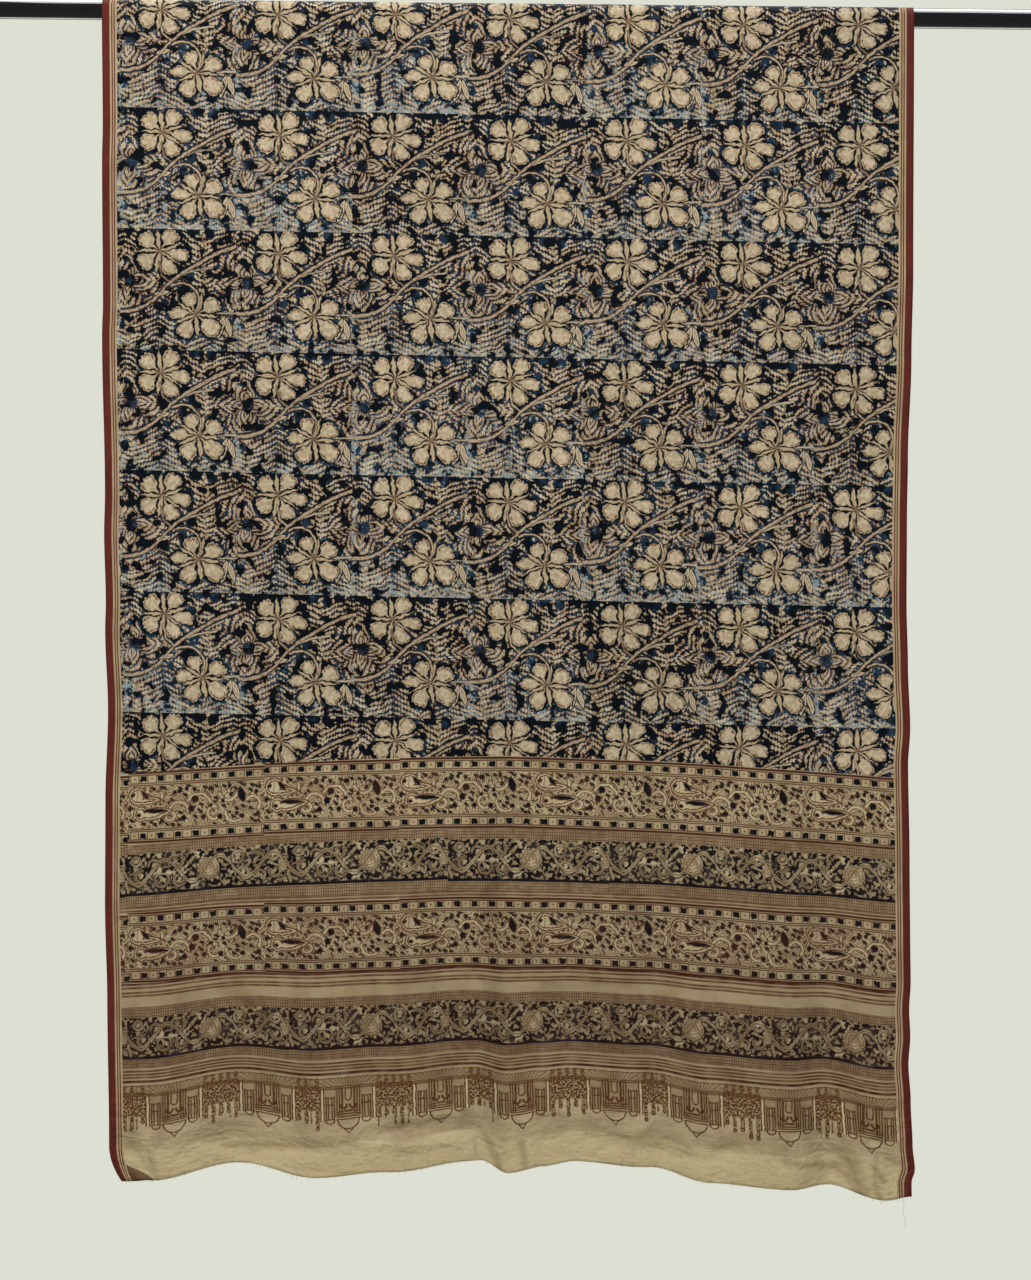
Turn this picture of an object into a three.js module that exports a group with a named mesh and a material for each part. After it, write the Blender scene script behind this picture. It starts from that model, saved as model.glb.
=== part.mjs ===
// A block-printed cotton dupatta hanging over a plain round rod, in millimetres.
// X runs along the rod, the front drop hangs on the -Y side, and Z points up.
// The origin is on the rod's axis, halfway along it.

import * as THREE from 'three';

// The rod
const ROD_DIAMETER = 22;
const ROD_LENGTH = 1240;
const ROD_SIDES = 48;

// The cloth
const CLOTH_WIDTH = 900;
const CLOTH_THICKNESS = 1.5;
const REST_GAP = 0.4; // between the rod and the cloth that lies over it
const LEAN = 0.0105; // sideways drift for each millimetre of drop, because the rod is not quite level
const NARROWING = 7e-6; // share of the width that the folds take up, for each millimetre of drop

// How finely the cloth is divided
const COLUMNS = 32;
const FRONT_ROWS = 34;
const OVER_ROWS = 10;
const BACK_ROWS = 26;

// The raw cut ends: how far each hangs below the rod's axis, at places across the cloth
const FRONT_END = [
  { across: -450, drop: 1300 },
  { across: -405, drop: 1298 },
  { across: -305, drop: 1278 },
  { across: -222, drop: 1295 },
  { across: -138, drop: 1286 },
  { across: -36, drop: 1272 },
  { across: -2, drop: 1288 },
  { across: 34, drop: 1278 },
  { across: 72, drop: 1271 },
  { across: 153, drop: 1278 },
  { across: 226, drop: 1296 },
  { across: 318, drop: 1301 },
  { across: 353, drop: 1297 },
  { across: 421, drop: 1311 },
  { across: 450, drop: 1307 },
];
const BACK_END = [
  { across: -450, drop: 1258 },
  { across: -260, drop: 1240 },
  { across: -60, drop: 1249 },
  { across: 150, drop: 1238 },
  { across: 330, drop: 1252 },
  { across: 450, drop: 1244 },
];

// Soft upright folds. Across is a fold's place at the cut end, drift is how far it has moved sideways
// since the rod, depth is outwards from the rod, and starts is how far down it begins.
const FRONT_FOLDS = [
  { across: -395, drift: -10, halfWidth: 70, depth: 6, starts: 260 },
  { across: -255, drift: 15, halfWidth: 85, depth: -6, starts: 120 },
  { across: -120, drift: -20, halfWidth: 75, depth: 6, starts: 380 },
  { across: -38, drift: 0, halfWidth: 45, depth: 5, starts: 560 },
  { across: -2, drift: 0, halfWidth: 30, depth: -8, starts: 560 },
  { across: 92, drift: 25, halfWidth: 85, depth: 7, starts: 240 },
  { across: 205, drift: -15, halfWidth: 75, depth: -6, starts: 460 },
  { across: 300, drift: 20, halfWidth: 60, depth: 6, starts: 180 },
  { across: 362, drift: 30, halfWidth: 45, depth: -8, starts: 820 },
  { across: 425, drift: 10, halfWidth: 55, depth: 7, starts: 640 },
];
const BACK_FOLDS = [
  { across: -360, drift: 20, halfWidth: 90, depth: 7, starts: 200 },
  { across: -190, drift: -15, halfWidth: 80, depth: -5, starts: 320 },
  { across: -2, drift: 0, halfWidth: 40, depth: 5, starts: 500 },
  { across: 130, drift: -25, halfWidth: 90, depth: 6, starts: 260 },
  { across: 300, drift: 10, halfWidth: 80, depth: -5, starts: 160 },
  { across: 410, drift: 15, halfWidth: 60, depth: 6, starts: 420 },
];
const FOLD_GROWTH = 480; // drop over which a fold reaches its full depth
const DRIFT_DROP = 1300; // drop over which a fold drifts sideways

// The lower left corner of the front drop, whose edge curls in
const CORNER_CURL = { width: 50, height: 40, inward: 14 };

// The front drop's two long edges waver a little, in a long and a short wave
const EDGE_REACH = 30;
const EDGE_WAVES = [
  { amount: 1.4, length: 330, starts: 0.4 },
  { amount: 1, length: 121, starts: 1.9 },
];

// Worked out from the sizes above
const ROD_RADIUS = ROD_DIAMETER / 2;
const HALF_FACET = Math.PI / OVER_ROWS / 2;
const MIDDLE_RADIUS = (ROD_RADIUS + REST_GAP + CLOTH_THICKNESS / 2) / Math.cos(HALF_FACET);
const HALF_WIDTH = CLOTH_WIDTH / 2;

const clamp = THREE.MathUtils.clamp;
const smooth = (value) => THREE.MathUtils.smoothstep(value, 0, 1);

// The drop of a cut end at one place across, eased between the places in its table
function endDrop(end, across) {
  const next = end.findIndex((place) => place.across >= across);
  if (next <= 0) return end[0].drop;
  const before = end[next - 1];
  const after = end[next];
  const share = smooth((across - before.across) / (after.across - before.across));
  return before.drop + (after.drop - before.drop) * share;
}

function foldDepth(folds, across, drop) {
  let depth = 0;
  for (const fold of folds) {
    const middle = fold.across - fold.drift * (1 - drop / DRIFT_DROP);
    const away = clamp((across - middle) / fold.halfWidth, -1, 1);
    const grown = smooth((drop - fold.starts) / FOLD_GROWTH);
    depth += fold.depth * grown * (1 + Math.cos(Math.PI * away)) / 2;
  }
  return depth;
}

function edgeWaver(across, drop) {
  const nearness = smooth((Math.abs(across) - HALF_WIDTH) / EDGE_REACH + 1);
  let shift = 0;
  for (const wave of EDGE_WAVES) {
    const turn = (2 * Math.PI * drop) / wave.length + wave.starts * Math.sign(across);
    shift += wave.amount * Math.sin(turn) * smooth(drop / wave.length);
  }
  return nearness * shift;
}

function cornerShift(across, aboveEnd) {
  const sideways = clamp(1 - (across + HALF_WIDTH) / CORNER_CURL.width, 0, 1);
  const upwards = clamp(1 - aboveEnd / CORNER_CURL.height, 0, 1);
  return CORNER_CURL.inward * sideways * upwards * upwards;
}

// A point halfway through the cloth, on the front drop
function frontPoint(across, share) {
  const length = endDrop(FRONT_END, across);
  const drop = length * share;
  const settled = across * (1 - NARROWING * drop) + LEAN * drop;
  const x = settled + edgeWaver(across, drop) + cornerShift(across, length - drop);
  return new THREE.Vector3(x, -MIDDLE_RADIUS - foldDepth(FRONT_FOLDS, across, drop), -drop);
}

function backPoint(across, share) {
  const drop = endDrop(BACK_END, across) * share;
  const x = across * (1 - NARROWING * drop) + LEAN * drop;
  return new THREE.Vector3(x, MIDDLE_RADIUS + foldDepth(BACK_FOLDS, across, drop), -drop);
}

function overPoint(across, share) {
  const angle = Math.PI * share;
  return new THREE.Vector3(across, -MIDDLE_RADIUS * Math.cos(angle), MIDDLE_RADIUS * Math.sin(angle));
}

// Rows run from the front end up over the rod and down to the back end
function clothRow(row, across) {
  if (row <= FRONT_ROWS) return frontPoint(across, 1 - row / FRONT_ROWS);
  const over = row - FRONT_ROWS;
  if (over < OVER_ROWS) return overPoint(across, over / OVER_ROWS);
  return backPoint(across, (over - OVER_ROWS) / BACK_ROWS);
}

function middleOfCloth() {
  const rows = FRONT_ROWS + OVER_ROWS + BACK_ROWS;
  const grid = [];
  for (let column = 0; column <= COLUMNS; column += 1) {
    const across = CLOTH_WIDTH * (column / COLUMNS) - HALF_WIDTH;
    const line = [];
    for (let row = 0; row <= rows; row += 1) line.push(clothRow(row, across));
    grid.push(line);
  }
  return grid;
}

// The outward normal at each grid point, from its neighbours
function gridNormals(grid) {
  const last = grid.length - 1;
  const end = grid[0].length - 1;
  return grid.map((line, column) => line.map((point, row) => {
    const along = grid[Math.min(column + 1, last)][row].clone();
    along.sub(grid[Math.max(column - 1, 0)][row]);
    const up = grid[column][Math.min(row + 1, end)].clone();
    up.sub(grid[column][Math.max(row - 1, 0)]);
    return along.cross(up).normalize();
  }));
}

// One closed solid of even thickness about a grid of points
function sheetSolid(grid, thickness) {
  const normals = gridNormals(grid);
  const columns = grid.length;
  const rows = grid[0].length;
  const positions = [];
  for (const side of [1, -1]) {
    grid.forEach((line, column) => line.forEach((point, row) => {
      const moved = point.clone().addScaledVector(normals[column][row], (side * thickness) / 2);
      positions.push(moved.x, moved.y, moved.z);
    }));
  }
  const outer = (column, row) => column * rows + row;
  const inner = (column, row) => columns * rows + outer(column, row);
  const indices = [];
  const quad = (a, b, c, d) => indices.push(a, b, c, a, c, d);
  for (let column = 0; column < columns - 1; column += 1) {
    const next = column + 1;
    for (let row = 0; row < rows - 1; row += 1) {
      quad(outer(column, row), outer(next, row), outer(next, row + 1), outer(column, row + 1));
      quad(inner(column, row), inner(column, row + 1), inner(next, row + 1), inner(next, row));
    }
    const top = rows - 1;
    quad(outer(column, 0), inner(column, 0), inner(next, 0), outer(next, 0));
    quad(outer(column, top), outer(next, top), inner(next, top), inner(column, top));
  }
  const last = columns - 1;
  for (let row = 0; row < rows - 1; row += 1) {
    quad(outer(0, row), outer(0, row + 1), inner(0, row + 1), inner(0, row));
    quad(outer(last, row), inner(last, row), inner(last, row + 1), outer(last, row + 1));
  }
  const geometry = new THREE.BufferGeometry();
  geometry.setAttribute('position', new THREE.Float32BufferAttribute(positions, 3));
  geometry.setIndex(indices);
  geometry.computeVertexNormals();
  return geometry;
}

function makeDupatta() {
  const material = new THREE.MeshStandardMaterial({ color: 0x6b6658, roughness: 0.9, metalness: 0 });
  const mesh = new THREE.Mesh(sheetSolid(middleOfCloth(), CLOTH_THICKNESS), material);
  mesh.name = 'dupatta';
  return mesh;
}

function makeRod() {
  const geometry = new THREE.CylinderGeometry(ROD_RADIUS, ROD_RADIUS, ROD_LENGTH, ROD_SIDES);
  const material = new THREE.MeshStandardMaterial({ color: 0x0b0b0d, roughness: 0.15, metalness: 0.1 });
  const mesh = new THREE.Mesh(geometry, material);
  mesh.name = 'rod';
  mesh.rotation.z = Math.PI / 2;
  return mesh;
}

const dupattaOnRod = new THREE.Group();
dupattaOnRod.add(makeDupatta(), makeRod());

export default dupattaOnRod;
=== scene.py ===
"""A block-printed cotton dupatta hanging over a gloss black rod, in metres.

X runs along the rod, the front drop hangs on the -Y side and Z points up.
The print is drawn in millimetres on the cloth: across from its left edge, and down from the rod.
"""
import math
from collections import namedtuple

import bpy
import numpy as np
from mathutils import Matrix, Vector


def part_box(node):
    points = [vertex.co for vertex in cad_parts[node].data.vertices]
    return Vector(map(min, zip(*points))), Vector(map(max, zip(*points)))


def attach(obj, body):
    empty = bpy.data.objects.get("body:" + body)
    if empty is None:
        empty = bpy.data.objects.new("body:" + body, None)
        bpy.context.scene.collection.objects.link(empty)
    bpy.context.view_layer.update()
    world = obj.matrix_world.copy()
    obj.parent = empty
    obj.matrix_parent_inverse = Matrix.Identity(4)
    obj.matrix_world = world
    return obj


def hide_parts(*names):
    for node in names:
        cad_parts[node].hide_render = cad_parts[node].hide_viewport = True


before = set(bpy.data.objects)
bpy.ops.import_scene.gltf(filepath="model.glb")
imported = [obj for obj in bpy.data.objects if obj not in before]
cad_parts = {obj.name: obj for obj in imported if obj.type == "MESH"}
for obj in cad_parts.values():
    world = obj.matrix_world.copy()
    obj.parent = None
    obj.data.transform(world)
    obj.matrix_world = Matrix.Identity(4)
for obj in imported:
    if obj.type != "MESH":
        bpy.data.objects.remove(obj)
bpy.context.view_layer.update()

MM = 0.001  # a millimetre, in metres

# ---- The cloth's shape, in metres ----

CLOTH_WIDTH = 0.9
HALF_WIDTH = CLOTH_WIDTH / 2
THICKNESS = 0.0006
REST_GAP = 0.0003  # between the rod and the cloth that lies over it
LEAN = 0.0105  # sideways drift for each metre of drop

rod_low, rod_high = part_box("rod")
ROD_RADIUS = (rod_high.z - rod_low.z) / 2
ROD_LENGTH = rod_high.x - rod_low.x
TURN_RADIUS = ROD_RADIUS + REST_GAP + THICKNESS / 2
TURN_LENGTH = math.pi * TURN_RADIUS

# How far each cut end hangs below the rod's axis: (across, drop)
FRONT_END = [
    (-0.450, 1.300), (-0.405, 1.298), (-0.305, 1.278), (-0.222, 1.295), (-0.138, 1.286),
    (-0.036, 1.272), (-0.002, 1.288), (0.034, 1.278), (0.072, 1.271), (0.153, 1.278),
    (0.226, 1.296), (0.318, 1.301), (0.353, 1.297), (0.421, 1.311), (0.450, 1.307),
]
BACK_END = [
    (-0.450, 1.258), (-0.260, 1.240), (-0.060, 1.249), (0.150, 1.238), (0.330, 1.252),
    (0.450, 1.244),
]

# Soft upright folds. Across is a fold's place at the cut end, and depth is outwards from the rod.
Fold = namedtuple("Fold", "across drift half_width depth starts")
FRONT_FOLDS = [
    Fold(-0.395, -0.010, 0.070, 0.006, 0.260),
    Fold(-0.255, 0.015, 0.085, -0.006, 0.120),
    Fold(-0.120, -0.020, 0.075, 0.006, 0.380),
    Fold(-0.038, 0.000, 0.045, 0.005, 0.560),
    Fold(-0.002, 0.000, 0.030, -0.008, 0.560),
    Fold(0.092, 0.025, 0.085, 0.007, 0.240),
    Fold(0.205, -0.015, 0.075, -0.006, 0.460),
    Fold(0.300, 0.020, 0.060, 0.006, 0.180),
    Fold(0.362, 0.030, 0.045, -0.008, 0.820),
    Fold(0.425, 0.010, 0.055, 0.007, 0.640),
]
BACK_FOLDS = [
    Fold(-0.360, 0.020, 0.090, 0.007, 0.200),
    Fold(-0.190, -0.015, 0.080, -0.005, 0.320),
    Fold(-0.002, 0.000, 0.040, 0.005, 0.500),
    Fold(0.130, -0.025, 0.090, 0.006, 0.260),
    Fold(0.300, 0.010, 0.080, -0.005, 0.160),
    Fold(0.410, 0.015, 0.060, 0.006, 0.420),
]

# Creases in the front drop's lower part, where it was folded and knocked about
Crease = namedtuple("Crease", "start end half_width depth")
FRONT_CREASES = [
    Crease((-0.360, 1.250), (-0.290, 1.268), 0.007, -0.0035),
    Crease((-0.320, 1.267), (-0.190, 1.259), 0.008, -0.0048),
    Crease((-0.235, 1.256), (-0.120, 1.236), 0.010, 0.0042),
    Crease((-0.215, 1.252), (-0.020, 1.228), 0.009, -0.0054),
    Crease((-0.185, 1.256), (-0.030, 1.250), 0.007, 0.0035),
    Crease((-0.052, 1.205), (-0.016, 1.300), 0.010, -0.0064),
    Crease((0.012, 1.190), (0.026, 1.300), 0.009, 0.0048),
    Crease((0.060, 1.238), (0.230, 1.275), 0.009, -0.0045),
    Crease((0.100, 1.228), (0.190, 1.246), 0.008, 0.0032),
    Crease((0.215, 1.262), (0.300, 1.250), 0.008, -0.0032),
    Crease((0.320, 1.215), (0.382, 1.315), 0.011, -0.0080),
    Crease((0.345, 1.190), (0.420, 1.320), 0.011, 0.0080),
    Crease((0.372, 1.180), (0.452, 1.330), 0.010, -0.0072),
    Crease((-0.440, 1.235), (-0.395, 1.320), 0.010, -0.0048),
    Crease((-0.300, 1.080), (-0.100, 1.062), 0.014, -0.0019),
    Crease((0.080, 1.068), (0.330, 1.084), 0.014, -0.0019),
]

BACK_TUCK = 0.006  # the share by which the back drop is drawn in more than the front
TUCK_DROP = 0.3  # the drop over which that happens
FOLD_GROWTH = 0.48  # the drop over which a fold reaches its full depth
DRIFT_DROP = 1.3  # the drop over which a fold drifts sideways
FADE_SHARE = 0.35  # the share of a crease's length over which it fades at each end

# The small ripples of thin cloth: how fast each turns across and down, how it wanders, and its share
Ripple = namedtuple("Ripple", "across down wander share")
RIPPLES = [
    Ripple(61, 0, 1.3, 0.5), Ripple(103, 5, 0, 0.3), Ripple(23, -31, 0, 0.35), Ripple(37, 47, 0, 0.2),
]
RIPPLE_DEPTH = 0.0011
RIPPLE_GROWTH = 0.9  # the drop over which the ripples grow
WANDER_TURNS = 7  # how fast the wander turns with the drop
BACK_SHIFTED = 0.4  # the back drop's ripples are the front's, moved across by this much

# The curl of the front drop's lower left corner
CURL_WIDTH, CURL_HEIGHT, CURL_INWARD = 0.050, 0.040, 0.014

# How far the two long edges are drawn in below the rod: (drop, inwards)
LEFT_EDGE = [
    (0.00, 0.0000), (0.13, 0.0010), (0.17, 0.0002), (0.33, 0.0012), (0.36, 0.0002), (0.54, 0.0035),
    (0.58, 0.0026), (0.66, 0.0046), (0.69, 0.0038), (0.78, 0.0070), (0.88, 0.0040), (0.99, 0.0035),
    (1.10, 0.0060), (1.25, 0.0080), (1.32, 0.0080),
]
RIGHT_EDGE = [
    (0.00, 0.0000), (0.28, 0.0010), (0.38, 0.0030), (0.49, 0.0070), (0.56, 0.0080), (0.65, 0.0085),
    (0.72, 0.0070), (0.79, 0.0045), (0.83, 0.0070), (0.94, 0.0055), (1.02, 0.0050), (1.07, 0.0045),
    (1.10, 0.0062), (1.13, 0.0050), (1.16, 0.0070), (1.20, 0.0045), (1.25, 0.0025), (1.277, 0.0000),
    (1.291, 0.0036), (1.32, 0.0030),
]

# The printed length of the front drop, and where the hanging cloth starts to bow away from it
PRINTED_LENGTH = 1.282
WAVES_START = 0.85

# The border was printed a little bowed: the extra drop at each edge, in millimetres
BOW_LEFT, BOW_RIGHT, BOW_POWER = 26.0, 20.5, 1.62

# How finely the sheet is divided: (from, to, divisions)
COLUMN_RUNS = [
    (-0.450, -0.400, 12), (-0.400, -0.045, 50), (-0.045, 0.045, 26), (0.045, 0.385, 48),
    (0.385, 0.450, 16),
]
FRONT_RUNS = [(1.00, 0.62, 130), (0.62, 0.00, 96)]
OVER_ROWS = 14
BACK_ROWS = 80


def smooth(value):
    """Eases from 0 to 1."""
    value = np.clip(value, 0, 1)
    return value * value * (3 - 2 * value)


def eased(places, at):
    """A table's value, eased between its places."""
    where = np.array([place[0] for place in places])
    value = np.array([place[1] for place in places])
    after = np.clip(np.searchsorted(where, at), 1, len(where) - 1)
    share = smooth((at - where[after - 1]) / (where[after] - where[after - 1]))
    return value[after - 1] + (value[after] - value[after - 1]) * share


def runs(table):
    """Evenly spaced numbers along each run of a table, joined end to end."""
    parts = [np.linspace(start, end, count, endpoint=False) for start, end, count in table]
    return np.append(np.concatenate(parts), table[-1][1])


def fold_depth(folds, across, drop):
    depth = np.zeros_like(across)
    for fold in folds:
        middle = fold.across - fold.drift * (1 - drop / DRIFT_DROP)
        away = np.clip((across - middle) / fold.half_width, -1, 1)
        grown = smooth((drop - fold.starts) / FOLD_GROWTH)
        depth += fold.depth * grown * (1 + np.cos(np.pi * away)) / 2
    return depth


def crease_depth(creases, across, drop):
    """Soft creases that fade at both ends and to each side."""
    depth = np.zeros_like(across)
    for crease in creases:
        (start_across, start_drop), (end_across, end_drop) = crease.start, crease.end
        run = np.array([end_across - start_across, end_drop - start_drop])
        length = np.hypot(*run)
        along = ((across - start_across) * run[0] + (drop - start_drop) * run[1]) / length
        aside = ((across - start_across) * run[1] - (drop - start_drop) * run[0]) / length
        fading = FADE_SHARE * length
        fade = smooth(along / fading) * smooth((length - along) / fading)
        depth += crease.depth * fade * np.exp(-(aside / crease.half_width) ** 2)
    return depth


def unevenness(across, drop):
    """How far the ripples stand out, growing away from the rod."""
    depth = 0
    for ripple in RIPPLES:
        wander = ripple.wander * np.sin(drop * WANDER_TURNS)
        depth = depth + np.sin(across * ripple.across + drop * ripple.down + wander) * ripple.share
    return RIPPLE_DEPTH * depth * smooth(drop / RIPPLE_GROWTH)


def settled(across, drop):
    """Where a place across the cloth hangs, once the edges have drawn in and the cloth has leaned."""
    left = eased(LEFT_EDGE, drop)
    right = -eased(RIGHT_EDGE, drop)
    return across + left + (right - left) * (across / CLOTH_WIDTH + 0.5) + LEAN * drop


def corner_shift(across, above_end):
    sideways = np.clip(1 - (across + HALF_WIDTH) / CURL_WIDTH, 0, 1)
    upwards = np.clip(1 - above_end / CURL_HEIGHT, 0, 1)
    return CURL_INWARD * sideways * upwards ** 2


def front_drop(across, share):
    """Points, and the print's distance down the cloth, for a share of the front drop."""
    length = eased(FRONT_END, across)
    drop = length * share
    x = settled(across, drop) + corner_shift(across, length - drop)
    outwards = fold_depth(FRONT_FOLDS, across, drop) + crease_depth(FRONT_CREASES, across, drop)
    y = -TURN_RADIUS - outwards - unevenness(across, drop)
    bowed = np.clip((drop - WAVES_START) / (length - WAVES_START), 0, 1) ** 2
    printed = drop - (length - PRINTED_LENGTH - border_bow(across) * MM) * bowed
    return x, y, -drop, printed


def back_drop(across, share):
    drop = eased(BACK_END, across) * share
    y = TURN_RADIUS + fold_depth(BACK_FOLDS, across, drop) + unevenness(across + BACK_SHIFTED, drop)
    tucked = 1 - BACK_TUCK * smooth(drop / TUCK_DROP)
    return settled(across * tucked, drop), y, -drop, -TURN_LENGTH - drop


def over_rod(across, share):
    angle = np.pi * share
    y = -TURN_RADIUS * np.cos(angle)
    return across, y, TURN_RADIUS * np.sin(angle), -TURN_LENGTH * share


def border_bow(across):
    """How far the print has dropped, in millimetres, at a place across the cloth."""
    size = np.where(across < 0, BOW_LEFT, BOW_RIGHT)
    return size * np.abs(across / HALF_WIDTH) ** BOW_POWER


def cloth_points():
    """The sheet's middle surface, from the front end up over the rod and down to the back end."""
    columns = runs(COLUMN_RUNS)
    parts = [(front_drop, runs(FRONT_RUNS)[:-1])]
    parts.append((over_rod, np.linspace(0, 1, OVER_ROWS, endpoint=False)))
    parts.append((back_drop, np.linspace(0, 1, BACK_ROWS + 1)))
    rows = []
    for shape, shares in parts:
        across, share = np.meshgrid(columns, shares)
        x, y, z, printed = np.broadcast_arrays(*shape(across, share))
        rows.append(np.stack([x, y, z, across + HALF_WIDTH, printed], axis=-1))
    return np.concatenate(rows)


def put(thing, **settings):
    """Gives a thing its settings."""
    for name, setting in settings.items():
        setattr(thing, name, setting)


def add_object(operator, name, **settings):
    """Adds an object, as the only one selected."""
    bpy.ops.object.select_all(action="DESELECT")
    operator(**settings)
    added = bpy.context.object
    added.name = name
    return added


def modify(piece, kind, **settings):
    """Applies a modifier to the piece that was added last."""
    modifier = piece.modifiers.new(kind.lower(), kind)
    put(modifier, **settings)
    bpy.ops.object.modifier_apply(modifier=modifier.name)


def read(items, name, width=1, kind=float):
    """One property of many items, with a row for each item where it has several parts."""
    values = np.empty(len(items) * width, dtype=kind)
    items.foreach_get(name, values)
    return values.reshape(-1, width) if width > 1 else values


def make_cloth():
    """One sheet, shaped row by row and then given its thickness."""
    points = cloth_points()
    rows, columns = points.shape[0] - 1, points.shape[1] - 1
    divisions = {"x_subdivisions": columns, "y_subdivisions": rows}
    cloth = add_object(bpy.ops.mesh.primitive_grid_add, "printed_dupatta", size=1, **divisions)
    mesh = cloth.data
    flat = read(mesh.vertices, "co", 3)
    column = np.rint((flat[:, 0] + 0.5) * columns).astype(int)
    row = np.rint((flat[:, 1] + 0.5) * rows).astype(int)
    shaped = points[row, column]
    mesh.vertices.foreach_set("co", shaped[:, :3].ravel())
    corners = read(mesh.loops, "vertex_index", kind=int)
    layer = mesh.uv_layers[0]
    layer.name = "Cloth"
    layer.uv.foreach_set("vector", shaped[corners][:, 3:].ravel())
    mesh.update()
    bpy.ops.object.shade_smooth()
    modify(cloth, "SOLIDIFY", thickness=THICKNESS, offset=0, material_offset=1)
    add_bake_layout(cloth)
    return cloth


# Where each side of each drop lies in the flat layout that its colours are baked into:
# (scale, from the left, from the foot)
BAKED_PLACES = {
    "front": (0.745, 0.004, 0.004),
    "back": (0.352, 0.680, 0.004),
    "front inside": (0.352, 0.680, 0.455),
    "back inside": (0.050, 0.680, 0.933),
}


def add_bake_layout(cloth):
    """A second map, which gives the cloth's front most of the room."""
    mesh = cloth.data
    printed = read(mesh.uv_layers["Cloth"].uv, "vector", 2)
    corners = read(mesh.polygons, "loop_total", kind=int)
    inside = read(mesh.polygons, "material_index", kind=int)
    face = np.repeat(np.arange(len(corners)), corners)
    middle = np.bincount(face, printed[:, 1]) / corners
    ridge = -TURN_LENGTH / 2
    behind = middle < ridge
    laid = np.empty_like(printed)
    for name, (scale, left, foot) in BAKED_PLACES.items():
        mine = (behind == name.startswith("back")) & ((inside == 1) == name.endswith("inside"))
        spots = mine[face]
        laid[spots, 0] = left + printed[spots, 0] * scale
        laid[spots, 1] = foot + np.abs(printed[spots, 1] - ridge) * scale
    layer = mesh.uv_layers.new(name="OFBake")
    layer.uv.foreach_set("vector", laid.ravel())
    mesh.uv_layers.active = mesh.uv_layers["Cloth"]


# ---- Threads that have come loose from the cut ends ----

THREAD_RADIUS = 0.00018
FRAY_SPACING = 0.0052
FRAY_LENGTH = (0.0004, 0.0024)
FRAY_FROM, FRAY_TO = -HALF_WIDTH + 0.004, HALF_WIDTH - 0.003
FRAY_INSET, LOOSE_INSET = 0.0008, 0.001  # how far above the end threads start, as a share of the drop
BACK_FRAY = 0.8  # how long the back end's threads are, beside the front's
# Where the front end is more frayed: (from, to, how much longer the threads are)
FRAYED_STRETCHES = [
    (-0.285, -0.200, 2.2), (-0.130, -0.095, 1.4), (0.190, 0.225, 1.5), (0.395, 0.450, 1.7),
]
# The one long thread: (across, how far below the end)
LOOSE_THREAD = [(0.4395, 0.0), (0.4415, 0.009), (0.4405, 0.018), (0.4432, 0.027), (0.4425, 0.036)]


def end_point(shape, across, above):
    """A place on one of the two drops, a share of its length above its cut end."""
    at = np.array([across])
    x, y, z = shape(at, np.array([1 - above]))[:3]
    return Vector((float(x[0]), float(np.broadcast_to(y, 1)[0]), float(np.broadcast_to(z, 1)[0])))


def fray_lines(shape, ease):
    """Short wandering threads along a cut end."""
    random = np.random.default_rng(11)
    lines = []
    for across in np.arange(FRAY_FROM, FRAY_TO, FRAY_SPACING):
        across = across + random.uniform(-0.4, 0.4) * FRAY_SPACING
        longer = max([1.0] + [extra for start, end, extra in FRAYED_STRETCHES if start < across < end])
        length = random.uniform(*FRAY_LENGTH) * longer * ease
        lean = random.uniform(-0.8, 0.8)
        bend = random.uniform(-0.6, 0.6)
        root = end_point(shape, across, FRAY_INSET)
        line = [root]
        for share in (0.35, 0.7, 1.0):
            aside = length * (lean * share + bend * share * share)
            outwards = random.uniform(-0.2, 0.2) * length
            line.append(root + Vector((aside, outwards, -MM - length * share)))
        lines.append(line)
    return lines


def make_threads():
    """All the loose threads, as one mesh."""
    lines = fray_lines(front_drop, 1.0) + fray_lines(back_drop, BACK_FRAY)
    start = LOOSE_THREAD[0][0]
    root = end_point(front_drop, start, LOOSE_INSET)
    lines.append([root + Vector((across - start, 0, -fall)) for across, fall in LOOSE_THREAD])
    paths = add_object(bpy.ops.curve.primitive_bezier_curve_add, "loose_threads").data
    paths.splines.clear()
    put(paths, dimensions="3D", bevel_depth=THREAD_RADIUS, bevel_resolution=0, use_fill_caps=True)
    for line in lines:
        spline = paths.splines.new("POLY")
        spline.points.add(len(line) - 1)
        for point, place in zip(spline.points, line):
            point.co = (*place, 1)
    bpy.ops.object.convert(target="MESH")
    return bpy.context.object


# ---- A small kit for writing a pattern as sums, which become a material's nodes ----

EDGE = 0.9  # how soft the printed edges are, in millimetres
MIDDLE = HALF_WIDTH / MM  # halfway across the cloth, in millimetres


def joined(operation, swapped=False):
    """A method that makes a new value from this one and another."""
    def method(self, other):
        pair = (other, self) if swapped else (self, other)
        return maths(operation, *pair)
    return method


class Output:
    """Something that the material works out at every point."""

    def __init__(self, socket):
        self.socket = socket
        self.tree = socket.id_data


class Value(Output):
    """A number."""

    __add__ = __radd__ = joined("ADD")
    __mul__ = __rmul__ = joined("MULTIPLY")
    __sub__, __rsub__ = joined("SUBTRACT"), joined("SUBTRACT", swapped=True)
    __truediv__ = joined("DIVIDE")
    __gt__, __lt__ = joined("GREATER_THAN"), joined("LESS_THAN")

    def __abs__(self):
        return maths("ABSOLUTE", self)


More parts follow.
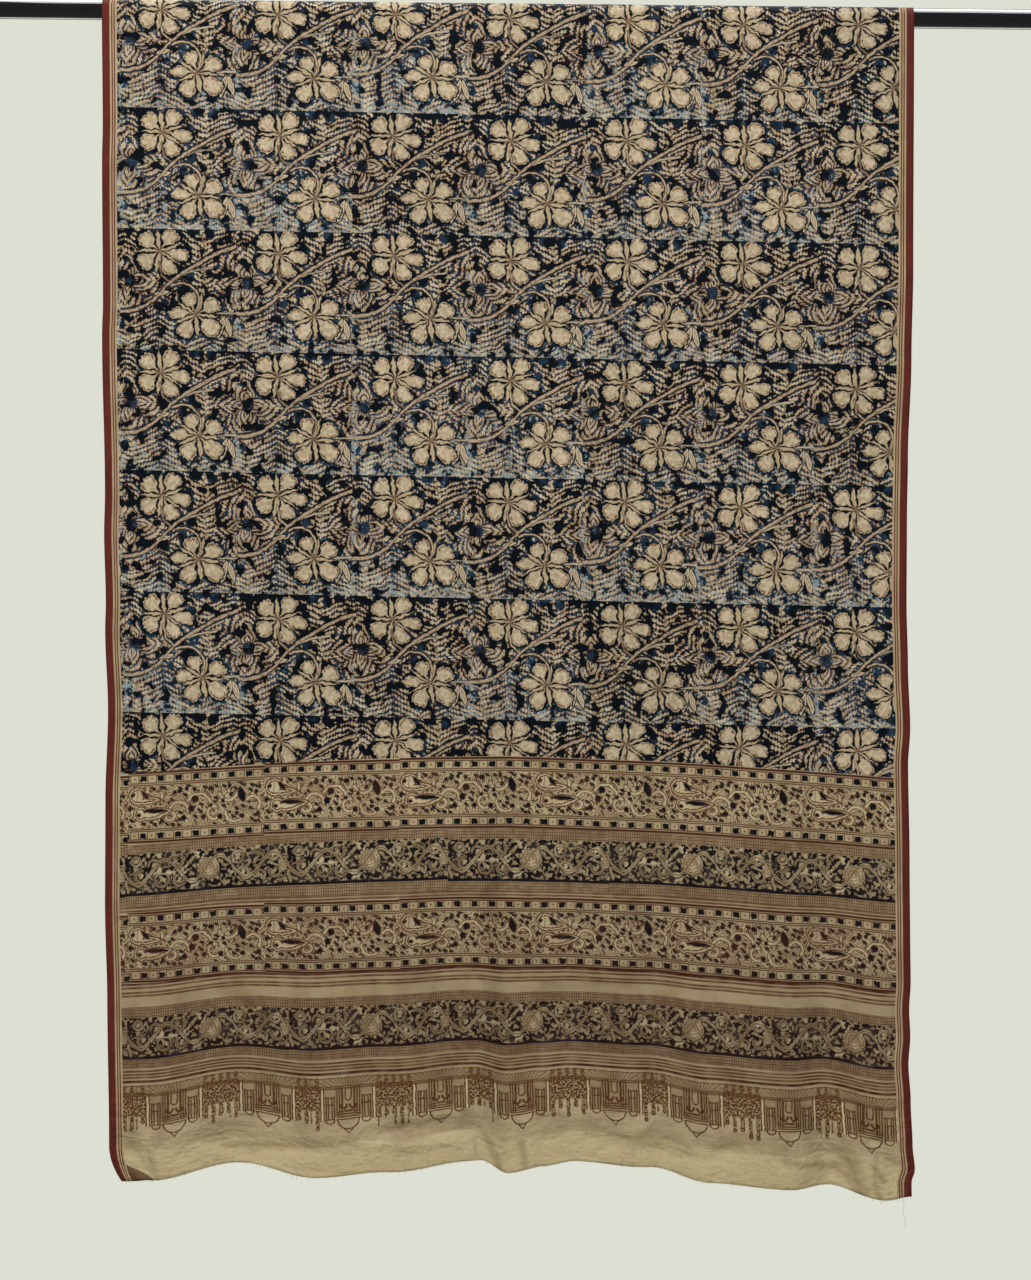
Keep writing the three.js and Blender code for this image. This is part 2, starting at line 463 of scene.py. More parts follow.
class Place(Output):
    """A place on the cloth, in millimetres across and down."""

    split = None

    def part(self, index):
        if self.split is None:
            self.split = new_node(self.tree, "SeparateXYZ", {0: self})
        return Value(self.split.outputs[index])

    @property
    def across(self):
        return self.part(0)

    @property
    def down(self):
        return self.part(1)

    def __add__(self, other):
        return vectors("ADD", self, other)

    def __sub__(self, other):
        return vectors("SUBTRACT", self, other)

    def stretched(self, across, down):
        return vectors("MULTIPLY", self, (across, down, 1))

    def from_point(self, across, down):
        """The distance from a point."""
        return vectors("DISTANCE", self, (across, down, 0))

    def along(self, across, down):
        """How far along a direction."""
        return vectors("DOT_PRODUCT", self, (across, down, 0))


class Colour(Output):
    """A colour that inks can be laid over."""

    def lay(self, mask, ink):
        self.socket = paint(self, mask, ink).socket

    def lay_rimmed(self, shape, rim, rim_ink, ink):
        """Lays a shape, and a rim of another ink outside it."""
        self.lay(within(shape, rim), rim_ink)
        self.lay(within(shape, 0), ink)


def feed(socket, value):
    if hasattr(value, "socket"):
        socket.id_data.links.new(value.socket, socket)
    else:
        socket.default_value = value


def new_node(tree, kind, inputs, **settings):
    """A node with its settings made and its inputs fed."""
    node = tree.nodes.new("ShaderNode" + kind)
    put(node, **settings)
    for name, value in inputs.items():
        feed(node.inputs[name], value)
    return node


def made(tree, kind, inputs):
    """What a new node gives."""
    return Output(new_node(tree, kind, inputs).outputs[0])


def tree_of(values):
    return next(value.tree for value in values if hasattr(value, "tree"))


def maths(operation, *values, clamp=False):
    inputs = dict(enumerate(values))
    node = new_node(tree_of(values), "Math", inputs, operation=operation, use_clamp=clamp)
    return Value(node.outputs[0])


def vectors(operation, *values):
    node = new_node(tree_of(values), "VectorMath", dict(enumerate(values)), operation=operation)
    if operation in ("DISTANCE", "DOT_PRODUCT"):
        return Value(node.outputs["Value"])
    return Place(node.outputs["Vector"])


def scaled(run, share):
    """A share of the way along a run."""
    node = new_node(share.tree, "VectorMath", {0: (*run, 0), 3: share}, operation="SCALE")
    return Place(node.outputs[0])


def place_at(across, down):
    node = new_node(tree_of([across, down]), "CombineXYZ", {0: across, 1: down})
    return Place(node.outputs[0])


def span(across, down):
    """How long a step across and down is."""
    return place_at(across, down).from_point(0, 0)


def ramp(value, slope, start):
    """A number times a slope, plus a start, held between 0 and 1."""
    return maths("MULTIPLY_ADD", value, slope, start, clamp=True)


def choose(test, no, yes):
    """One number where the test is 0 and the other where it is 1."""
    return Value(new_node(test.tree, "Mix", {0: test, 2: no, 3: yes}).outputs[0])


def least(first, *others):
    for other in others:
        first = maths("MINIMUM", first, other)
    return first


def most(first, *others):
    for other in others:
        first = maths("MAXIMUM", first, other)
    return first


def within(distance, reach, softness=EDGE):
    """1 where a distance is under a reach and 0 past it, with a soft edge."""
    if hasattr(reach, "socket"):
        return ramp(reach - distance, 1 / softness, 0.5)
    return ramp(distance, -1 / softness, reach / softness + 0.5)


def beyond(distance, reach, softness=EDGE):
    return ramp(distance, 1 / softness, 0.5 - reach / softness)


def line(distance, width, softness=EDGE):
    """A line of a width along where a distance is nought."""
    return within(abs(distance), width / 2, softness)


def nearest(value, places):
    """How far a value is from the nearest of several."""
    return least(*[abs(value - place) for place in places])


def repeat(value, period):
    """Where a value lies in its period, measured from the middle."""
    return maths("WRAP", value, period / 2, -period / 2)


def count(value, period):
    return maths("FLOOR", value / period)


def noise(place, size, detail=1.0, roughness=0.5, colour=False):
    inputs = {"Vector": place, "Scale": 1 / size, "Detail": detail, "Roughness": roughness}
    node = new_node(place.tree, "TexNoise", inputs, noise_dimensions="2D")
    return Place(node.outputs["Color"]) if colour else Value(node.outputs[0])


def chance(place, colour=False):
    """A different number from 0 to 1 for each whole place."""
    node = new_node(place.tree, "TexWhiteNoise", {"Vector": place}, noise_dimensions="2D")
    return Place(node.outputs["Color"]) if colour else Value(node.outputs["Value"])


def cells(place, size, spread):
    """The distance to the nearest of some scattered points."""
    inputs = {"Vector": place, "Scale": 1 / size, "Randomness": spread}
    node = new_node(place.tree, "TexVoronoi", inputs, voronoi_dimensions="2D")
    return Value(node.outputs["Distance"]) * size


def straying(place, size, roughness=0.6):
    """Which way an unsteady hand would stray from a place, up to about half a millimetre each way."""
    return noise(place, size, roughness=roughness, colour=True) - (0.5, 0.5, 0.5)


def curve(value, points, low, high):
    """A smooth curve through points, for values from low to high."""
    heights = [point[1] for point in points]
    floor, top = min(heights), max(heights)
    share = maths("MULTIPLY_ADD", value, 1 / (high - low), -low / (high - low))
    node = new_node(value.tree, "FloatCurve", {"Value": share})
    track = node.mapping.curves[0]
    for index, (at, height) in enumerate(points):
        where = ((at - low) / (high - low), (height - floor) / (top - floor))
        if index < 2:
            track.points[index].location = where
        else:
            track.points.new(*where)
    node.mapping.update()
    return maths("MULTIPLY_ADD", Value(node.outputs[0]), top - floor, floor)


def paint(ground, mask, ink):
    """A ground with an ink laid over it where the mask is 1."""
    return Colour(new_node(mask.tree, "Mix", {0: mask, 6: ground, 7: ink}, data_type="RGBA").outputs[2])


# ---- Shapes, each given as a distance that is under nought inside ----

def leaf(place, start, end, half_width):
    """A pointed leaf between two points."""
    length = math.dist(start, end)
    radius = (length * length / 4 + half_width * half_width) / (2 * half_width)
    middle = ((start[0] + end[0]) / 2, (start[1] + end[1]) / 2)
    side = ((start[1] - end[1]) / length, (end[0] - start[0]) / length)
    reach = radius - half_width
    one = place.from_point(middle[0] + side[0] * reach, middle[1] + side[1] * reach)
    other = place.from_point(middle[0] - side[0] * reach, middle[1] - side[1] * reach)
    return most(one, other) - radius


def leaves(place, table):
    """Several leaves together: (from, to, half width)."""
    return least(*[leaf(place, *row) for row in table])


def rounds(place, table):
    """Several round shapes together: (across, down, radius)."""
    return least(*[place.from_point(across, down) - radius for across, down, radius in table])


def arc(place, centre, radius, towards, reach):
    """The distance from an arc of a circle, which spans so far either side of a direction in degrees."""
    turn = math.radians(towards)
    direction = (math.cos(turn), -math.sin(turn))
    offset = place - (*centre, 0)
    off_ring = abs(place.from_point(*centre) - radius)
    past = radius * math.cos(math.radians(reach)) - offset.along(*direction)
    return most(off_ring, past)


def stroke(place, points):
    """The distance from a line through points."""
    parts = []
    for start, end in zip(points, points[1:]):
        run = (end[0] - start[0], end[1] - start[1])
        square = run[0] ** 2 + run[1] ** 2
        offset = place - (*start, 0)
        share = maths("MULTIPLY", offset.along(run[0] / square, run[1] / square), 1, clamp=True)
        parts.append(vectors("DISTANCE", offset, scaled(run, share)))
    return least(*parts)


# ---- Inks, from plain colour codes ----

def ink(red, green, blue):
    """A colour from its parts out of 255."""
    def plain(part):
        part = part / 255
        return part / 12.92 if part < 0.04045 else ((part + 0.055) / 1.055) ** 2.4
    return (plain(red), plain(green), plain(blue), 1)


CREAM = ink(190, 175, 148)
FERN = ink(160, 144, 113)
COTTON = ink(168, 152, 120)
TAN = ink(146, 129, 99)
UNBLEACHED = ink(183, 168, 131)
STRAW = ink(182, 166, 133)
MOSS = ink(92, 78, 52)
INDIGO = ink(10, 15, 21)
INK_BLACK = ink(18, 19, 22)
INK_BLUE = ink(26, 36, 50)
MID_BLUE = ink(30, 46, 62)
PALE_BLUE = ink(138, 152, 154)
RUST = ink(104, 62, 42)
BROWN = ink(78, 43, 26)
DARK_BROWN = ink(66, 32, 22)
UMBER = ink(96, 69, 42)
SEPIA = ink(80, 48, 24)
SHOWN_BLUE = ink(66, 72, 84)
MAROON = ink(91, 32, 28)
DARK_MAROON = ink(66, 26, 24)


# ---- The field: one square block, printed again and again ----

FIELD_LEFT = 19.0
FIELD_TOP = 114.5
BLOCK_WIDTH = 129.2
BLOCK_HEIGHT = 134.0
FIELD_TILT = 0.011  # the rows of blocks drop to the right
BLOCK_SLIP = 4.5  # how far a block may land off its place

# Each flower's middle, and its petals as (direction in degrees, reach)
FIRST_FLOWER = (46, 26.5)
FIRST_PETALS = [(-140, 28), (-54, 29), (10, 33), (59, 30), (146, 28)]
SECOND_FLOWER = (86.3, 95.7)
SECOND_PETALS = [(-116, 26), (-29, 29), (38, 33), (125, 30), (185, 30)]
# A petal's half width: (distance from the flower's middle, half width)
PETAL_SIDES = [(0, 0.2), (7, 0.9), (11, 2.6), (15, 6.2), (20, 8.3), (26, 9.0), (34, 8.4)]
LOBE = 0.135  # the spread of a lobe along a petal's tip, as a share of the turn between petals
NARROW_LEAF = (24, 1.8)  # the reach and half width of the narrow leaves between the petals
# The main stem: (across, down)
STEM = [(0, 94), (18, 92), (35, 83.5), (57, 61.5), (70, 51), (88, 40), (108, 28.5), (129.2, 20)]
# The stalk's arc: (middle, radius, direction, spread)
STALK = ((70, 81), 19.5, 45, 80)
OTHER_STALK = [(45, 38), (48, 53), (57, 60)]
BRANCH = [(66, 54), (84, 47), (104, 44)]
TWIG = [(108, 94), (132.2, 93.5)]
# Leaves that hang by themselves: (from, to, half width)
HANGING = [((118, 97), (111, 122), 3.2), ((120, 98), (126, 120), 3.0), ((56, 71), (40, 75), 2.2)]
# Patches with no leaves: (across, down, radius)
BARE_PATCHES = [
    (56, 55, 6), (79, 55, 5.5), (70, 69, 5), (52, 83, 4.5), (3, 108, 6), (127, 100, 4), (84, 1, 8),
    (102, 6, 6), (12, -3, 7), (76, 20, 4), (8, 36, 4), (60, 46, 4),
]
RINGS = (12, 60, 38)  # where the rings of leaflets are in the block, and how far they reach
TWIGS_AT = (95.0, 14.0)  # across the block, in its upper and its lower part
TWIG_CHANGES = 76.0  # down the block, where the upper part ends
LEAF_ROW = 60.0  # from one twig to the next
LEAF_PITCH = 5.9  # from one leaflet to the next along its twig
BEAD = 3.6  # the length of each bead of a leaflet
PETAL_GAP, STEM_GAP, TWIG_GAP = 4.2, 3.4, 1.8  # how far the leaves keep from each


def blocks(place):
    """The place within its block, and which block it is."""
    rows = place.down - (place.across - MIDDLE) * FIELD_TILT - FIELD_TOP
    columns = place.across - FIELD_LEFT
    column, row = count(columns, BLOCK_WIDTH), count(rows, BLOCK_HEIGHT)
    block = place_at(column, row)
    slip = (chance(block, colour=True) - (0.5, 0.5, 0)).stretched(BLOCK_SLIP, BLOCK_SLIP)
    spot = place_at(columns - column * BLOCK_WIDTH, rows - row * BLOCK_HEIGHT) - slip
    return spot, block


def flower(spot, centre, petals):
    """A flower's petals, the line inside their tips, and the narrow leaves between them, as distances."""
    offset = spot - (*centre, 0)
    angle = maths("ARCTAN2", offset.down, offset.across)
    radius = spot.from_point(*centre)
    before, after = petals[-1], petals[0]
    around = [(before[0] - 360, before[1]), *petals, (after[0] + 360, after[1])]
    turns = [math.radians(direction) for direction, reach in around]
    phase = curve(angle, [(turn, index) for index, turn in enumerate(turns)], turns[0], turns[-1])
    reach = curve(angle, [(turn, row[1]) for turn, row in zip(turns, around)], turns[0], turns[-1])
    swing = abs(repeat(phase, 1))
    width = radius * (2 * math.pi / len(petals))
    lobe = repeat(swing, LOBE)
    tip = radius - reach + lobe * lobe * 400 + swing * swing * 22
    petal = maths("SMOOTH_MAX", tip, swing * width - curve(radius, PETAL_SIDES, 0, 34), 5)
    between = (0.5 - swing) * width
    bulge = radius * (2 / NARROW_LEAF[0]) - 1
    narrow = between - (1 - bulge * bulge) * NARROW_LEAF[1]
    folds = least(most(abs(swing - 0.1) * width, radius - 14), most(between, radius - 18))
    return petal, most(abs(petal + 1.6), 17.5 - radius), narrow, folds


def ferns(spot):
    """Long beaded leaflets either side of upright twigs, and rings of them round the block's sides."""
    soft = spot + straying(spot, 18).stretched(7, 7)
    ring = place_at(repeat(soft.across - RINGS[0], BLOCK_WIDTH), soft.down - RINGS[1])
    radius = ring.from_point(0, 0)
    round_about = radius < RINGS[2]
    along = choose(round_about, soft.down, radius * 0.8)
    turn = maths("ARCTAN2", ring.down, ring.across) * RINGS[2]
    aside = choose(round_about, soft.across - choose(soft.down > TWIG_CHANGES, *TWIGS_AT), turn * 0.9)
    row = abs(repeat(aside, LEAF_ROW))
    stagger = chance(place_at(count(aside + LEAF_ROW / 2, LEAF_ROW), repeat(aside, LEAF_ROW) > 0))
    slant = repeat(along + row * 0.45 + stagger * LEAF_PITCH, LEAF_PITCH)
    beads = maths("COSINE", row * (2 * math.pi / BEAD)) * 0.65
    leaflet = most(abs(slant) + beads + row * row * 0.001, row - LEAF_ROW / 2 + 1.4, 9 - radius)
    return leaflet, row, slant


def field_ground(raw, tone, blot, speck):
    """Indigo, darkest at the top of each block and washed out with pale blue towards its foot."""
    foot = ramp(raw.down + blot * 50, 1 / 100, -0.62)
    joint = within(abs(repeat(raw.across, BLOCK_WIDTH)), 3, 5)
    joint = most(joint, beyond(raw.down, BLOCK_HEIGHT - 4, 5) * 0.6)
    blue = ramp(blot + foot * 0.2 + tone, 5, -2.45)
    pale = ramp(speck * 0.9 + foot * 0.23 + joint * 0.18 + blot * 0.5 + tone, 6, -5.95)
    return paint(paint(INDIGO, blue, MID_BLUE), pale * 0.85, PALE_BLUE)


def field(place):
    """Flowers, stems and ferns on the dark ground."""
    raw, block = blocks(place)
    shift = straying(place, 6, roughness=0.55)
    spot = raw + shift.stretched(2.4, 2.4)
    rough = raw + shift.stretched(4.2, 4.2)
    tone = maths("MULTIPLY_ADD", chance(block), 0.2, -0.1)
    blot = noise(place, 12, detail=1)
    speck = noise(place, 4.2, detail=1)
    colour = field_ground(raw, tone, blot, speck)

    first = flower(rough, FIRST_FLOWER, FIRST_PETALS)
    second = flower(rough, SECOND_FLOWER, SECOND_PETALS)
    petals, tips, narrow, folds = [least(one, other) for one, other in zip(first, second)]
    stem = abs(spot.down - curve(spot.across, STEM, 0, BLOCK_WIDTH)) * 0.8
    stems = least(stem, least(arc(spot, *STALK), stroke(spot, OTHER_STALK)) + 0.4)
    twigs = least(stroke(spot, BRANCH), stroke(spot, TWIG))

    leaflet, row, slant = ferns(raw + shift.stretched(0.9, 0.9))
    bare = least(rounds(rough, BARE_PATCHES), (blot - 0.39) * 40, raw.down + blot * 36 - 21)
    clear = beyond(least(petals - PETAL_GAP, stems - STEM_GAP, twigs - TWIG_GAP, bare), 0)
    side = beyond(abs(raw.across - 74), 36, 16) * within(abs(raw.down - 66), 44, 20)
    printed = clear * ramp(noise(place, 26, detail=1), 3, side * 0.7 - 0.85)
    size = leaflet + speck * 3 - 1.5
    colour.lay(within(row, 0.5, 1.0) * clear * 0.6, FERN)
    colour.lay(line(size - 1.8, 0.75, 0.9) * printed * 0.95, RUST)
    ferned = within(size, 1.5, 0.8) * clear
    colour.lay(ferned, paint(FERN, ramp(blot, 6, -2.7), CREAM))
    colour.lay(line(slant, 0.5, 0.8) * ferned * printed * 0.6, RUST)

    hanging = leaves(spot, HANGING)
    colour.lay_rimmed(hanging, 1.3, INDIGO, CREAM)
    colour.lay(line(hanging + 1.8, 0.9) * 0.8, RUST)

    colour.lay(within(twigs, 1.0), CREAM)
    colour.lay(line(twigs, 0.5) * 0.7, RUST)
    colour.lay(within(petals, 1.9, 1.4), INDIGO)
    petal = within(petals, -0.3, 1.2)
    colour.lay(petal, CREAM)
    colour.lay(petal * ramp(speck + blot * 0.5, 3, -1.7) * 0.85, FERN)
    outlines = ramp(speck, 5, -1.6)
    colour.lay(within(tips, 0.62, 0.8) * (outlines * 0.7 + 0.3), RUST)

    colour.lay_rimmed(narrow, 1.2, INDIGO, STRAW)
    colour.lay(line(narrow + 0.2, 0.5, 0.7) * 0.4, RUST)
    colour.lay(within(folds, 0.3, 0.7) * 0.5, RUST)

    colour.lay(within(stems, 2.0, 1.2), INDIGO)
    colour.lay(within(stems, 1.4), paint(TAN, outlines, CREAM))
    colour.lay(within(least(stems, abs(stems - 1.2)), 0.2, 0.7), RUST)
    return paint(colour, maths("MULTIPLY_ADD", tone, -0.5, 0.05), INDIGO)


# ---- The border bands. Down is measured from the rod, with the border's bow taken out. ----

FIELD_ENDS = 824.6
PAISLEY_TOPS = (825.5, 981.0)
PAISLEY_ENDS = (904.2, 1059.0)
PAISLEY_HEIGHT = 78.2
SCROLL_TOPS = (904.2, 1085.6)
SCROLL_ENDS = (973.8, 1154.6)
SCROLL_HEIGHT = 69.2
PAISLEYS_PART, SCROLLS_PART = 970.0, 1000.0  # between the first and the second band of each
DOME_TOP = 1174.0
DOME_HEIGHT = 72.0
DOME_SQUASH = 1.12  # the towers are drawn this much taller than they come out on the cloth
BACK_SHIFT = 40.0  # the back drop's border is this much nearer to the rod than the front's
DARKENING_FROM = 890.0  # where the darkening starts, and how far down it grows
DARKENING_OVER = 220.0

# The printed lines on the plain cloth between the bands
NARROW_STRIPES = (974.5, 978.2, 1064, 1069.5, 1073, 1158, 1161.6, 1165)
WIDE_STRIPES = (1059.8, 1169.5)

PLAIN_MIDDLE, PLAIN_REACH = 1265.0, 24.0  # the plain end, and how far either side it is palest
BACK_DROP_SHADE_ENDS = 1257.0  # where the painted shade of the back drop hanging behind ends


def border_place(place):
    """The place with the border's bow taken out of it. The back end is printed as the front end is."""
    side = maths("MULTIPLY_ADD", place.across, 1 / MIDDLE, -1)
    bow = maths("POWER", abs(side), BOW_POWER) * choose(side > 0, BOW_LEFT, BOW_RIGHT)
    turned = most(place.down, (BACK_SHIFT - TURN_LENGTH / MM) - place.down)
    return place_at(place.across, turned - bow)


def cotton_ground(place):
    """Unbleached cotton, unevenly stained by the dye bath, with slubs along the threads."""
    stain = noise(place, 34, detail=2)
    slub = noise(place.stretched(0.03, 1), 0.9, detail=1)
    colour = paint(COTTON, ramp(stain, 3, -1.1), TAN)
    return paint(colour, ramp(slub, 3, -1.45) * 0.5, STRAW)


def darkened_downwards(colour, border):
    """The lower bands are painted darker and browner, the further down the more."""
    darkening = ramp(border.down, 1 / DARKENING_OVER, -DARKENING_FROM / DARKENING_OVER)
    return paint(colour, darkening * 0.26, DARK_BROWN)


# Painted shade along the plain end's creases: (from, to, half width, strength)
CREASE_SHADE_MARKS = [
    ((806, 1204), (846, 1286), 13, 0.42), ((818, 1216), (868, 1262), 5, 0.4),
    ((838, 1190), (866, 1290), 5, 0.3), ((756, 1252), (836, 1268), 6, 0.4),
    ((6, 1262), (44, 1300), 7, 0.6), ((398, 1190), (440, 1292), 8, 0.34),
    ((458, 1200), (466, 1286), 6, 0.3), ((250, 1236), (330, 1222), 6, 0.3),
    ((130, 1262), (250, 1246), 5, 0.28), ((520, 1226), (650, 1248), 6, 0.24),
    ((40, 1226), (58, 1296), 8, 0.3),
]


def stripes(border):
    """Plain cloth with the printed lines between the bands, and painted light and shade on its plain end.
    """
    down = border.down
    plain = within(abs(down - PLAIN_MIDDLE), PLAIN_REACH, 18)
    # paler: partly the cloth's own colour, partly painted light below the back drop's end
    colour = paint(cotton_ground(border), plain * 0.85, UNBLEACHED)
    colour.lay(ramp(noise(border, 70, detail=2), 3, -1.5) * 0.35, TAN)
    # painted shade above the back drop's end, where the back drop hangs behind the cloth
    behind = down + noise(border, 60, detail=1) * 22
    colour.lay(within(behind, BACK_DROP_SHADE_ENDS, 6) * 0.26, UMBER)
    # painted shade along the creases
    crease_shade = []
    for start, end, half_width, strength in CREASE_SHADE_MARKS:
        crease_shade.append(within(stroke(border, [start, end]), half_width * 0.5, half_width) * strength)
    colour.lay(most(*crease_shade), UMBER)
    # painted shade: a dark triangle at the lower left, standing in for a turned-back corner
    turned = most(border.across * 0.5 + 1255 - down, border.across - 50)
    colour.lay(within(turned, 0) * 0.8, DARK_BROWN)
    patchy = ramp(noise(border, 16, detail=1), 2, -0.3)
    colour.lay(within(nearest(down, NARROW_STRIPES), 1.1, 1.2) * (patchy * 0.4 + 0.55), BROWN)
    return paint(colour, within(nearest(down, WIDE_STRIPES), 1.5) * (patchy * 0.3 + 0.7), DARK_BROWN)


PAISLEY_BLOCK = 151.8
PAISLEY_FROM = 25.6
PAISLEYS_REACH = 23.2  # from the band's middle
SQUARES_HEIGHT = 16.0  # of the rows of squares above and below the paisleys
SKEW = 3.6  # how far out of level a block is at the left edge, less so to the right
SQUARES_PERIOD = 19.5
SQUARES_AT = 31.6  # from the band's middle
SQUARES_LINES = (26.6, 24.4, 35.6)
# Scrolls beside the paisleys: (across, down, radius, towards, reach)
PAISLEY_SCROLLS = [
    (33, 11, 6, 320, 80), (47.5, 34, 5, 330, 125), (57, 29, 10, 90, 95), (79, 24, 13, 75, 75),
    (112, 10, 10, 270, 80), (119, 34, 10, 240, 70), (96, 33, 7, 180, 110), (139, 25, 8, 50, 90),
]
# A paisley is a round head with a pointed leaf for its tail.
PAISLEY_HEADS = [(11.3, 10.4, 9.8), (14.5, 30.5, 8)]
PAISLEY_TAILS = [((3, 16), (38, 15), 4.6), ((5, 34), (50, 27.5), 6.4)]
# Dark leaves and spots among them
DARK_LEAVES = [((15.5, 4.5), (24, 15), 2.2), ((18, 27), (45, 28), 2.5), ((124, 6), (129, 23), 4)]
PAISLEY_SPOTS = [
    (6, 9, 1.8), (12.5, 31, 2), (2.5, 24, 1.6), (62, 37, 2.4), (53, 8, 2), (75, 17, 3.3), (71, 27, 3.6),
    (84, 37, 2.2), (92, 6, 2.4), (92, 25, 2), (106, 20, 2), (103, 38, 2.2), (113, 4, 2), (127, 38, 2.4),
    (143, 12, 2), (145, 36, 1.8), (66, 4, 2), (37, 41, 1.5), (30, 3, 1.6),
]


def squares_row(border, fold):
    """Dark squares and dotted boxes in turn, between fine lines."""
    step = repeat(border.across - 4, SQUARES_PERIOD)
    box_step = repeat(step + SQUARES_PERIOD / 2, SQUARES_PERIOD)
    off_row = fold - SQUARES_AT
    square = most(abs(step) - 3.6, abs(off_row) - 3.1)
    edge = cotton_ground(border)
    edge.lay(within(square, 1.2), STRAW)
    edge.lay(within(abs(abs(box_step) - 4.8), 0.5) * within(abs(off_row), 3.9), BROWN)
    edge.lay(within(span(box_step, off_row), 0.9), BROWN)
    edge.lay(within(square + noise(border, 3.2) * 2.2, 1.3, 1.4), INK_BLACK)
    edge.lay(within(nearest(fold, SQUARES_LINES), 0.68) * 0.95, BROWN)
    return paint(edge, within(abs(fold - 38.2), 1.25), DARK_BROWN)


def paisley_band(border):
    """A block of paisleys and scrolls, between rows of little squares."""
    across = border.across - PAISLEY_FROM
    block = count(across, PAISLEY_BLOCK)
    along = across - block * PAISLEY_BLOCK
    skew = ramp(border.across, -1 / 500, 1) * SKEW
    down = border.down - choose(border.down > PAISLEYS_PART, *PAISLEY_TOPS)
    down = down - skew * (along * (1 / PAISLEY_BLOCK) - 0.5)
    raw = place_at(along, down - SQUARES_HEIGHT)
    shift = straying(raw + (0, 300, 0), 5)
    spot = raw + shift.stretched(2.4, 2.4)
    colour = cotton_ground(border)

    # fine leaves between the scrolls
    swirls = abs(repeat(noise(spot, 9, detail=0) * 5, 1))
    colour.lay(0.5 * within(noise(spot, 7), 0.5, 0.3), STRAW)
    colour.lay(within(swirls, 0.16, 0.12) * 0.9, BROWN)
    slanted = place_at(spot.along(0.8, 0.6) * 0.66, spot.along(-0.6, 0.8) * 1.2)
    flecks = cells(slanted, 7.6, 0.95)

    paisleys = least(rounds(spot, PAISLEY_HEADS), leaves(spot, PAISLEY_TAILS))
    scrolls = least(*[arc(spot, scroll[:2], *scroll[2:]) for scroll in PAISLEY_SCROLLS])
    pools = rounds(spot, PAISLEY_SPOTS) - noise(spot, 3) * 1.6 + 0.8
    pools = least(leaves(spot, DARK_LEAVES), pools)
    colour.lay(within(flecks, 2.1) * beyond(least(paisleys, scrolls - 2), 1) * 0.95, INK_BLACK)
    colour.lay(within(scrolls, 1.8), STRAW)
    colour.lay(within(abs(scrolls - 1.7), 0.55) * 0.9, BROWN)
    colour.lay(within(paisleys, 0.6), STRAW)
    colour.lay(within(least(abs(paisleys), abs(paisleys + 2.8)), 0.7), BROWN)
    beads = most(abs(spot.across - 11), abs(repeat(spot.down, 1.8)) - 0.2, abs(spot.down - 10) - 6)
    colour.lay(within(beads, 0.6) * 0.7, BROWN)
    colour.lay(within(pools, 0.9) * 0.6, BROWN)
    colour.lay(within(pools, 0), INK_BLACK)
    colour.lay(within(noise(border, 30, detail=1), 0.42, 0.2) * 0.2, RUST)

    # the squares are the same above and below
    fold = abs(down - PAISLEY_HEIGHT / 2)
    return darkened_downwards(paint(colour, fold > PAISLEYS_REACH, squares_row(border, fold)), border)


SCROLL_BLOCK = 180.6
SCROLL_FROM = 22.4
# Curling tendrils of the indigo band: (across, down, radius)
TENDRILS = [
    (13, 9, 5), (19, 26, 6.5), (33, 14, 6), (42, 31, 7.5), (57, 12, 7.5), (61, 33, 6), (126, 12, 6.5),
    (131, 31, 7), (146, 15, 8), (150, 34, 6), (165, 11, 6), (167, 29, 6.5),
]
MEDALLION = (93, 21.5)
SMALL_BLOOM = (178.6, 22)
MEDALLION_LINES, SMALL_LINES = (8.6, 5, 1.6), (4.4, 1.4)  # their rings' radii
VINE_MIDDLE, VINE_SWING, VINE_PERIOD = 22.0, 13.0, 60.2
TENDRILS_REACH = 23.4  # from the band's middle
DOTS_HEIGHT = 11.0  # of the dotted strips above and below the tendrils
DOTS_APART, DOT_ROWS_APART = 2.6, 3.4


def rosette(spot, centre, lobes, depth):
    """The distance from a flower's centre, in and out with its lobes."""
    offset = spot - (*centre, 0)
    angle = maths("ARCTAN2", offset.down, offset.across)
    return spot.from_point(*centre) - abs(maths("SINE", angle * (lobes / 2))) * depth


def dotted_strip(border, along, fold):
    """Rows of dots between fine lines."""
    dots = place_at(repeat(along, DOTS_APART), repeat(fold - 1.2, DOT_ROWS_APART))
    edge = cotton_ground(border)
    edge.lay(ramp(noise(border, 9, detail=1), 2, -0.5) * 0.5, UMBER)
    edge.lay(within(dots.stretched(0.8, 1).from_point(0, 0), 0.85), BROWN)
    return paint(edge, within(abs(repeat(fold + 0.5, DOT_ROWS_APART)), 0.3) * 0.9, BROWN)


